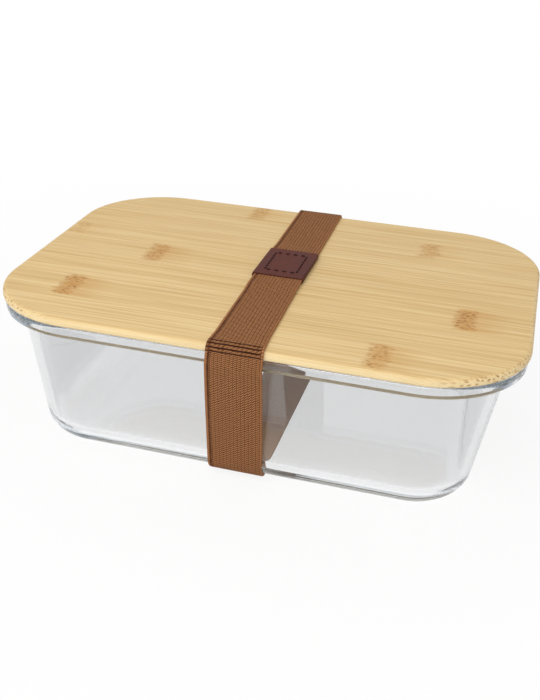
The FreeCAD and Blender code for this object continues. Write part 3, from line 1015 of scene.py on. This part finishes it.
@dataclass
class GlassTray:
    """The pressed glass tray: drafted walls, a rounded floor, an outward rim and a hollow base.

    Sizes are in millimetres and angles in degrees.
    """

    plan: Plan
    base: float = 1.3
    top: float = 64.15
    draft: float = 9.0
    rim_inset: float = 0.8
    rim_thick: float = 5.0
    rim_reach: float = 6.2
    wall: float = 3.6
    floor: float = 5.0
    floor_round: float = 8.0
    base_round: float = 11.0
    hollow: float = 0.6
    foot: float = 7.0
    foot_round: float = 20.0
    mouth_round: float = 1.0
    lip_round: float = 1.7
    rim_round: float = 1.0
    root_round: float = 1.6
    smooth: float = 60.0

    def section(self) -> list[Corner]:
        """Work out the wall's section.

        Returns:
            Its corners, from the inside floor over the rim to under the base.
        """
        slope = math.tan(math.radians(self.draft))
        under = self.top - self.rim_thick
        neck = self.rim_inset + self.rim_reach
        toe = neck + (under - self.base) * slope
        mouth = neck - self.rim_thick * slope + self.wall
        inner = self.base + self.floor
        ring = toe + self.base_round * (1 - slope) + self.foot
        return [
            Corner(self.plan.middle, inner),
            Corner(mouth + (self.top - inner) * slope, inner, self.floor_round),
            Corner(mouth, self.top, self.mouth_round),
            Corner(self.rim_inset, self.top, self.lip_round),
            Corner(self.rim_inset, under, self.rim_round),
            Corner(neck, under, self.root_round),
            Corner(toe, self.base, self.base_round),
            Corner(ring, self.base, self.foot_round),
            Corner(self.plan.middle, self.base + self.hollow / 2),
        ]

    def build(self, material: bpy.types.Material) -> bpy.types.Object:
        """Turn the section round the plan and put the tray in the scene.

        Args:
            material: The glass.

        Returns:
            The tray.
        """
        piece = piece_from(self.plan.turned(self.section()), "glass_tray", material, self.smooth)
        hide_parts("glass_container")
        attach(piece, "container")
        return piece


@dataclass
class BambooLid:
    """The board of seven glued strips with its step and seal groove, in millimetres.

    A place on a strip is part of the board's edge where its normal's rise is under the steep value.
    """

    plan: Plan
    under: float = 64.3
    thick: float = 3.5
    edge_round: float = 1.9
    under_round: float = 0.7
    step_inset: float = 12.32
    step_depth: float = 6.5
    step_round: float = 0.2
    foot_round: float = 0.8
    groove_drop: float = 1.6
    groove_width: float = 3.2
    groove_depth: float = 1.8
    groove_round: float = 0.15
    joint: float = 0.1
    steep: float = 0.85
    smooth: float = 35.0
    strips: tuple[Bamboo, ...] = (
        # The front strip's higher tone is partly painted light, for the light falling on its front edge.
        Bamboo(1, (52.4, -64.0), 0.45, 1.0),
        Bamboo(2, (-76.0, -44.4), 0.02, 1.3),
        Bamboo(3, (78.9, -22.7), 0.06, 1.35),
        Bamboo(4, (-55.8, 0.7), -0.04, 1.1),
        Bamboo(5, (-99.5, 14.4), 0.04, 0.4),
        Bamboo(6, (56.8, 46.6), -0.02, 0.7),
        Bamboo(7, (-27.6, 66.1), 0.02, 0.8),
    )

    @property
    def top(self) -> float:
        """Return the height of the board's upper face."""
        return self.under + self.thick

    def section(self) -> list[Corner]:
        """Work out the board's section.

        Returns:
            Its corners, from the middle of its top to the middle of its underside.
        """
        step = self.step_inset
        groove = step + self.groove_depth
        high = self.under - self.groove_drop
        low = high - self.groove_width
        foot = self.under - self.step_depth
        return [
            Corner(self.plan.middle, self.top),
            Corner(0.0, self.top, self.edge_round),
            Corner(0.0, self.under, self.under_round),
            Corner(step, self.under, self.step_round),
            Corner(step, high, self.groove_round),
            Corner(groove, high),
            Corner(groove, low),
            Corner(step, low, self.groove_round),
            Corner(step, foot, self.foot_round),
            Corner(self.plan.middle, foot),
        ]

    def cut(self, shape: bmesh.types.BMesh, place: float, keep_back: bool) -> None:
        """Saw the board along its length, close the sawn face and break its upper edge.

        Args:
            shape: The board.
            place: Where the saw runs, in millimetres from the middle.
            keep_back: Whether the side behind the saw stays.
        """
        sawn = bmesh.ops.bisect_plane(
            shape,
            geom=shape.verts[:] + shape.edges[:] + shape.faces[:],
            dist=ON_SAW,
            plane_co=(0, place * MM, 0),
            plane_no=(0, 1, 0),
            clear_inner=keep_back,
            clear_outer=not keep_back,
        )["geom_cut"]
        rim = edges_of(sawn)
        bmesh.ops.edgeloop_fill(shape, edges=rim)
        top = self.top * MM
        upper = [edge for edge in rim if edge.is_valid and all(abs(v.co.z - top) < WELD for v in edge.verts)]
        round_off(shape, upper, Rounding.EDGES, self.joint, segments=1)

    def mark_edges(self, shape: bmesh.types.BMesh) -> None:
        """Mark where fibres end and where the board's edge shows, for the finish.

        Args:
            shape: One strip.
        """
        bmesh.ops.recalc_face_normals(shape, faces=shape.faces)
        shape.normal_update()
        ends = shape.verts.layers.float.new("end_grain")
        sides = shape.verts.layers.float.new("side_grain")
        low, high = self.under * MM - WELD, self.top * MM - WELD
        for vert in shape.verts:
            steep = low < vert.co.z < high and abs(vert.normal.z) < self.steep
            vert[ends] = abs(vert.normal.x) if steep else 0.0
            vert[sides] = 1.0 - abs(vert.normal.z) if steep else 0.0

    def build(self, grain: Grain) -> list[bpy.types.Object]:
        """Saw each strip from the same board and put it in the scene.

        Args:
            grain: The grain of all strips.

        Returns:
            The strips, from front to back.
        """
        pieces = []
        count = len(self.strips)
        lane = self.plan.width / count
        for strip in self.strips:
            shape = self.plan.turned(self.section())
            low = -self.plan.width / 2 + (strip.number - 1) * lane
            if strip.number > 1:
                self.cut(shape, low, True)
            if strip.number < count:
                self.cut(shape, low + lane, False)
            self.mark_edges(shape)
            piece = piece_from(shape, f"bamboo_board_{strip.number}", strip.material(grain), self.smooth)
            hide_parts(f"bamboo_strip_{strip.number}")
            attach(piece, "lid")
            pieces.append(piece)
        return pieces


@dataclass(frozen=True)
class Run:
    """A stretch of the strap's route: its length, and how fast it turns down, per millimetre."""

    length: float
    turn: float = 0.0


@dataclass
class ElasticStrap:
    """The woven band round the closed box, with its two ends meeting in the patch, in millimetres.

    The skew is how far the band lies to the side of its middle. The spread is how much wider it lies than its
    own width. Both run between stops, placed by their distance from the lid's middle over the front or back.
    """

    width: float = 20.5
    thick: float = 1.1
    gap: float = 0.2
    shift: float = 1.5
    lid_half: float = 75.25
    lid_top: float = 67.8
    lid_round: float = 1.6
    rim_under: float = 60.0
    base_axis: float = 49.557
    base_round: float = 11.0
    bend: float = 3.0
    rise: float = 30.0
    lead: float = 19.55
    lift: float = 1.3
    split_at: float = 3.3
    split: float = 0.6
    edge_round: float = 0.45
    edge_steps: int = 4
    inner_side_share: float = 0.4
    smooth: float = 50.0
    front_skew: Stops = ((-20.0, -0.2), (18.0, 0.3), (72.0, 1.5), (76.0, 1.5), (84.0, 1.1), (150.0, -2.1))
    back_skew: Stops = ((150.0, -2.1), (75.0, -0.9), (20.0, -0.2))
    front_spread: Stops = ((66.0, 1.0), (78.0, 1.06), (100.0, 1.09), (150.0, 1.1))
    back_spread: Stops = ((150.0, 1.1), (80.0, 1.0))
    runs: list[Run] = field(default_factory=list)

    def __post_init__(self) -> None:
        """Work out the runs of half the route, from the lid's middle to under the tray."""
        mid = self.gap + self.thick / 2
        side = self.lid_half + mid
        level = self.lid_top + mid
        climb = self.lid_top + self.lift - level
        turn = math.acos(1 - climb / (2 * self.rise))
        fall = self.lead + 2 * self.rise * math.sin(turn)
        over = self.lid_round + mid
        under = self.base_round + mid
        reach = Vector((side - self.bend - self.base_axis, self.rim_under - self.thick / 2 - under))
        lean = math.acos((under - self.bend) / reach.length) - math.atan2(reach.y, reach.x)
        slant = math.sqrt(reach.length_squared - (under - self.bend) ** 2)
        self.runs = [
            Run(self.lead),
            Run(self.rise * turn, 1 / self.rise),
            Run(self.rise * turn, -1 / self.rise),
            Run(side - over - fall),
            Run(over * math.pi / 2, 1 / over),
            Run(level - over - self.rim_under),
            Run(self.bend * lean, 1 / self.bend),
            Run(slant),
            Run(under * (math.pi / 2 - lean), 1 / under),
            Run(self.base_axis),
        ]

    @property
    def half(self) -> float:
        """Return the length of half the route in millimetres."""
        return sum(run.length for run in self.runs)

    def place(self, along: float) -> tuple[float, float, float]:
        """Find a place on half the route.

        Args:
            along: The distance from the lid's middle, in millimetres.

        Returns:
            The distance out from the middle plane, the height, and the slope of the route there.
        """
        out, height, slope = 0.0, self.lid_top + self.lift, 0.0
        left = along
        for run in self.runs:
            step = min(left, run.length)
            if run.turn:
                turned = slope + step * run.turn
                out += (math.sin(turned) - math.sin(slope)) / run.turn
                height += (math.cos(turned) - math.cos(slope)) / run.turn
                slope = turned
            else:
                out += step * math.cos(slope)
                height -= step * math.sin(slope)
            left -= step
            if left <= 0.0:
                break
        return out, height, slope

    def eased(self, along: float, front: Stops, back: Stops) -> float:
        """Find a value that runs evenly between stops along the band, and is held outside them.

        Args:
            along: The distance round the box from the lid's middle, going over the front, in millimetres.
            front: The stops by their distance going over the front.
            back: The stops by their distance going over the back, the furthest first.

        Returns:
            The value there.
        """
        stops = front + tuple((2 * self.half - place, value) for place, value in back)
        for (first, low), (second, high) in zip(stops, stops[1:]):
            if first <= along <= second:
                return low + (high - low) * (along - first) / (second - first)
        return stops[0][1] if along < stops[0][0] else stops[-1][1]

    def wrap(self, flat: Vector) -> Vector:
        """Fold a place on the flat band round the box.

        Args:
            flat: The place across, along and over the flat band, in metres.

        Returns:
            The place on the box, in metres.
        """
        across, along, over = flat / MM
        front = 0.0 <= along <= self.half
        half_along = along if front else (-along if along < 0.0 else 2 * self.half - along)
        out, height, slope = self.place(half_along)
        out += over * math.sin(slope)
        height += over * math.cos(slope)
        spread = self.eased(along, self.front_spread, self.back_spread)
        skew = self.eased(along, self.front_skew, self.back_skew)
        side = self.shift + across * spread + skew
        return Vector((side, -out if front else out, height)) * MM

    def flat_band(self) -> bmesh.types.BMesh:
        """Make the band flat, map its weave and mark its inner side.

        Returns:
            The band, along Y from the lid's middle.
        """
        start = -self.split_at + self.split / 2
        end = 2 * self.half - self.split_at - self.split / 2
        shape = block(self.width, end - start, self.thick)
        bmesh.ops.translate(shape, vec=(0, (start + end) / 2 * MM, 0), verts=shape.verts)
        ends = end_faces(shape)
        long_edges = edges_along(shape, Axis.Y, self.half)
        round_off(shape, long_edges, Rounding.EDGES, self.edge_round, self.edge_steps)
        bmesh.ops.delete(shape, geom=[face for face in ends if face.is_valid], context="FACES_ONLY")
        long_edges = edges_along(shape, Axis.Y, self.half)
        bmesh.ops.subdivide_edges(shape, edges=long_edges, cuts=int(end - start), use_grid_fill=True)
        fill_holes(shape)
        bmesh.ops.recalc_face_normals(shape, faces=shape.faces)
        chart = shape.loops.layers.uv.new("band")
        for face in shape.faces:
            for loop in face.loops:
                loop[chart].uv = loop.vert.co.xy
        # The inner side is marked here so that the weave can paint light on it.
        inner_side_layer = shape.verts.layers.float.new("inner_side")
        for vert in shape.verts:
            vert[inner_side_layer] = 1.0 if vert.co.z < -self.inner_side_share * self.thick * MM else 0.0
        return shape

    def build(self, material: bpy.types.Material) -> bpy.types.Object:
        """Fold the flat band round the box and put it in the scene.

        Args:
            material: The webbing.

        Returns:
            The strap.
        """
        shape = self.flat_band()
        for vert in shape.verts:
            vert.co = self.wrap(vert.co.copy())
        bmesh.ops.recalc_face_normals(shape, faces=shape.faces)
        piece = piece_from(shape, "elastic_band", material, self.smooth)
        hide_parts("elastic_strap")
        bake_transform(piece)
        return piece


@dataclass
class LeatherPatch:
    """The strip of leather folded round the band, and the thread that sews it, in millimetres.

    The lips are the sleeve's open ends, rounded where their edges turn more than the lip angle, in radians.
    """

    width: float = 21.6
    length: float = 29.5
    height: float = 2.2
    thick: float = 0.5
    fold: float = 0.75
    fold_steps: int = 5
    lip_round: float = 0.15
    lip_steps: int = 3
    lip_angle: float = 1.0
    shift: tuple[float, float] = (1.5, 3.3)
    under: float = 68.0
    sewn: tuple[float, float] = (13.6, 19.5)
    pitch: float = 2.75
    stitch: float = 2.3
    thread: float = 0.45
    thread_sides: int = 8
    thread_cuts: int = 5
    taper: float = 0.35
    dip: float = 0.42
    leather_smooth: float = 50.0
    thread_smooth: float = 60.0

    def middle(self) -> Vector:
        """Return the middle of the patch in metres."""
        return Vector((*self.shift, self.under + self.height / 2)) * MM

    def build_leather(self, material: bpy.types.Material) -> bpy.types.Object:
        """Fold the leather into a flat sleeve and put it in the scene.

        Args:
            material: The leather.

        Returns:
            The patch.
        """
        shape = block(self.width, self.length, self.height)
        bmesh.ops.delete(shape, geom=end_faces(shape), context="FACES_ONLY")
        folds = edges_along(shape, Axis.Y, self.length / 2)
        round_off(shape, folds, Rounding.EDGES, self.fold, self.fold_steps)
        bmesh.ops.recalc_face_normals(shape, faces=shape.faces)
        bmesh.ops.solidify(shape, geom=shape.faces[:], thickness=self.thick * MM)
        bmesh.ops.recalc_face_normals(shape, faces=shape.faces)
        half = self.length / 2 * MM
        lips = [edge for edge in shape.edges if all(abs(abs(v.co.y) - half) < WELD for v in edge.verts)]
        rims = [edge for edge in lips if edge.calc_face_angle(0.0) > self.lip_angle]
        round_off(shape, rims, Rounding.EDGES, self.lip_round, self.lip_steps)
        bmesh.ops.translate(shape, vec=self.middle(), verts=shape.verts)
        piece = piece_from(shape, "patch_leather", material, self.leather_smooth)
        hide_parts("leather_patch")
        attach(piece, "strap_crown")
        return piece

    def stitches(self) -> list[tuple[Vector, float]]:
        """Space the stitches out round the sewn rectangle.

        Returns:
            The middle of every stitch, in millimetres from the patch's own, and its turn.
        """
        wide, long = self.sewn
        places = []
        for run, other, turn in ((long, wide, 90.0), (wide, long, 0.0)):
            count = int(run / self.pitch)
            for side in (-0.5, 0.5):
                for index in range(count):
                    along = (index + 0.5) * run / count - run / 2
                    spot = (side * other, along) if turn else (along, side * other)
                    places.append((Vector((*spot, 0.0)), math.radians(turn)))
        return places

    def one_stitch(self) -> bpy.types.Mesh:
        """Make a stitch about the origin, along X, that dips at its two ends.

        Returns:
            The stitch's mesh.
        """
        shape = bmesh.new()
        bmesh.ops.create_cone(
            shape,
            cap_ends=True,
            segments=self.thread_sides,
            radius1=self.thread * MM,
            radius2=self.thread * MM,
            depth=self.stitch * MM,
            matrix=Matrix.Rotation(math.pi / 2, 4, "Y"),
        )
        length = edges_along(shape, Axis.X, self.stitch / 2)
        bmesh.ops.subdivide_edges(shape, edges=length, cuts=self.thread_cuts, use_grid_fill=True)
        for vert in shape.verts:
            reach = abs(vert.co.x) / (self.stitch / 2 * MM)
            slim = 1.0 - self.taper * reach**4
            vert.co = (vert.co.x, vert.co.y * slim, vert.co.z * slim - self.dip * MM * reach**3)
        mesh = bpy.data.meshes.new("one_stitch")
        shape.to_mesh(mesh)
        shape.free()
        return mesh

    def build_thread(self, material: bpy.types.Material) -> bpy.types.Object:
        """Lay the stitches, each dipping into the leather at its two ends.

        Args:
            material: The thread's finish.

        Returns:
            The thread.
        """
        shape = bmesh.new()
        stitch = self.one_stitch()
        top = self.middle() + Vector((0, 0, self.height / 2 * MM))
        for spot, turn in self.stitches():
            laid = len(shape.verts)
            shape.from_mesh(stitch)
            shape.verts.ensure_lookup_table()
            fresh = shape.verts[laid:]
            bmesh.ops.rotate(shape, cent=(0, 0, 0), matrix=Matrix.Rotation(turn, 3, "Z"), verts=fresh)
            bmesh.ops.translate(shape, vec=top + spot * MM, verts=fresh)
        bpy.data.meshes.remove(stitch)
        bmesh.ops.recalc_face_normals(shape, faces=shape.faces)
        piece = piece_from(shape, "patch_thread", material, self.thread_smooth)
        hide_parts("patch_stitching")
        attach(piece, "strap_crown")
        return piece


# Floor, light and camera


@dataclass
class Studio:
    """A pale floor, soft light and the camera at the photograph's angle.

    The eye is in millimetres and the angles are in radians. The floor, the shadow's reach and the key lamp
    are in metres. The card is the grey of boards low down at both sides, which only gloss and glass show.
    """

    eye: tuple[float, float, float] = (91.28, -378.93, 228.89)
    yaw: float = -0.2807
    pitch: float = 0.4947
    roll: float = 0.0318
    lens: float = 51.22
    sensor: float = 36.0
    shift: tuple[float, float] = (0.0483, 0.0304)
    nearest: float = 0.01
    world_level: float = 0.6
    card: Color = (0.4, 0.46, 0.54, 1.0)
    card_side: tuple[float, float] = (0.45, 0.8)
    card_rise: tuple[float, float] = (0.05, 0.5)
    paper: Color = (0.94, 0.94, 0.94, 1.0)
    floor_half: float = 6.0
    floor_cells: int = 8
    floor_share: float = 0.88
    shadow_reach: tuple[float, float] = (0.14, 0.4)
    key_place: tuple[float, float, float] = (-0.2, -0.76, 0.95)
    key_aim: tuple[float, float, float] = (0.0, 0.0, 0.05)
    key_size: tuple[float, float] = (1.1, 0.35)
    key_power: float = 7.6

    def build_camera(self) -> bpy.types.Object:
        """Place the camera and make it the scene's own.

        Returns:
            The camera.
        """
        flat = math.cos(self.pitch)
        ahead = Vector((math.sin(self.yaw) * flat, math.cos(self.yaw) * flat, -math.sin(self.pitch)))
        level = Vector((math.cos(self.yaw), -math.sin(self.yaw), 0.0))
        upward = level.cross(ahead)
        right = math.cos(self.roll) * level + math.sin(self.roll) * upward
        up = -math.sin(self.roll) * level + math.cos(self.roll) * upward
        data = bpy.data.cameras.new("camera")
        data.lens = self.lens
        data.sensor_width = self.sensor
        data.shift_x, data.shift_y = self.shift
        data.clip_start = self.nearest
        camera = bpy.data.objects.new("camera", data)
        turn = Matrix((right, up, -ahead)).transposed().to_4x4()
        camera.matrix_world = Matrix.Translation(Vector(self.eye) * MM) @ turn
        bpy.context.scene.collection.objects.link(camera)
        bpy.context.scene.camera = camera
        return camera

    def bent(self, web: Web) -> Socket:
        """Return 1 for rays that come off gloss or through glass."""
        path = web.add("ShaderNodeLightPath").outputs
        return web.math("MAXIMUM", path["Is Glossy Ray"], path["Is Transmission Ray"])

    def seen(self, web: Web) -> Socket:
        """Return 1 for rays that look at the background, straight or bent."""
        straight = web.add("ShaderNodeLightPath").outputs["Is Camera Ray"]
        return web.math("MAXIMUM", straight, self.bent(web))

    def build_floor(self) -> bpy.types.Object:
        """Lay the floor, which keeps the box's soft shadow and is white further off.

        Returns:
            The floor.
        """
        shape = bmesh.new()
        cells = self.floor_cells
        bmesh.ops.create_grid(shape, x_segments=cells, y_segments=cells, size=self.floor_half)
        material = bpy.data.materials.new("pale_floor")
        material.use_nodes = True
        web = Web(material.node_tree)
        web.tree.nodes.clear()
        paper = web.add("ShaderNodeBsdfDiffuse", {"Color": self.paper})
        glow = web.add("ShaderNodeEmission", {"Color": WHITE, "Strength": 1.0})
        spot = web.add("ShaderNodeTexCoord").outputs["Object"]
        far = web.add("ShaderNodeVectorMath", {0: spot}, operation="LENGTH").outputs["Value"]
        share = web.times(self.seen(web), web.span(far, *self.shadow_reach, self.floor_share, 1.0))
        both = web.add("ShaderNodeMixShader", {0: share, 1: paper.outputs[0], 2: glow.outputs[0]})
        web.add("ShaderNodeOutputMaterial", {"Surface": both.outputs[0]})
        floor = piece_from(shape, "floor", material)
        return floor

    def build_sky(self) -> None:
        """Put a white sky round the box, with the cards low down at its sides."""
        world = bpy.data.worlds.new("white_sky")
        bpy.context.scene.world = world
        world.use_nodes = True
        web = Web(world.node_tree)
        web.tree.nodes.clear()
        strength = web.add("ShaderNodeMapRange", {0: self.seen(web), 3: self.world_level, 4: 1.0})
        across, _, rise = web.parts(web.add("ShaderNodeTexCoord").outputs["Generated"])
        beside = web.span(web.size(across), *self.card_side)
        low = web.times(beside, web.span(rise, *self.card_rise, 1.0, 0.0))
        color = web.mix(web.times(self.bent(web), low), WHITE, self.card)
        sky = web.add("ShaderNodeBackground", {"Color": color, "Strength": strength.outputs[0]})
        web.add("ShaderNodeOutputWorld", {"Surface": sky.outputs[0]})

    def build_key(self) -> bpy.types.Object:
        """Hang the one soft lamp above and in front of the box.

        Returns:
            The lamp.
        """
        data = bpy.data.lights.new("key", "AREA")
        data.shape = "RECTANGLE"
        data.size, data.size_y = self.key_size
        data.energy = self.key_power
        lamp = bpy.data.objects.new("key", data)
        place = Vector(self.key_place)
        turn = (Vector(self.key_aim) - place).to_track_quat("-Z", "Y").to_matrix().to_4x4()
        lamp.matrix_world = Matrix.Translation(place) @ turn
        bpy.context.scene.collection.objects.link(lamp)
        return lamp


def clear_stage() -> None:
    """Take away whatever the empty scene starts with."""
    for item in list(bpy.data.objects):
        bpy.data.objects.remove(item)


def main() -> None:
    """Load the frame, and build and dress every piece."""
    logging.basicConfig(level=logging.INFO, format="%(name)s: %(message)s")
    clear_stage()
    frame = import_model()
    scene = bpy.context.scene
    scene.view_settings.view_transform = "Standard"
    scene.cycles.max_bounces = BOUNCES
    scene.cycles.glossy_bounces = BOUNCES
    scene.cycles.transmission_bounces = BOUNCES

    studio = Studio()
    studio.build_camera()
    studio.build_floor()
    studio.build_sky()
    studio.build_key()

    grain, weave, handling = Grain(), Weave(), Handling()
    plan = Plan()
    LOG.info("built %s", GlassTray(plan).build(ClearGlass().material(handling)).name)
    for strip in BambooLid(plan).build(grain):
        LOG.info("built %s", strip.name)
    strap = ElasticStrap()
    webbing = Webbing(half_width=strap.width / 2, half_length=strap.half)
    LOG.info("built %s", strap.build(webbing.material(weave)).name)
    patch = LeatherPatch()
    LOG.info("built %s", patch.build_leather(Leather().material(handling)).name)
    LOG.info("built %s", patch.build_thread(Thread().material(handling)).name)
    seal = frame["nodes"]["silicone_seal"]
    seal.data.materials.clear()
    seal.data.materials.append(Silicone().material(handling))
    LOG.info("dressed %s", seal.name)


if __name__ == "__main__":
    main()
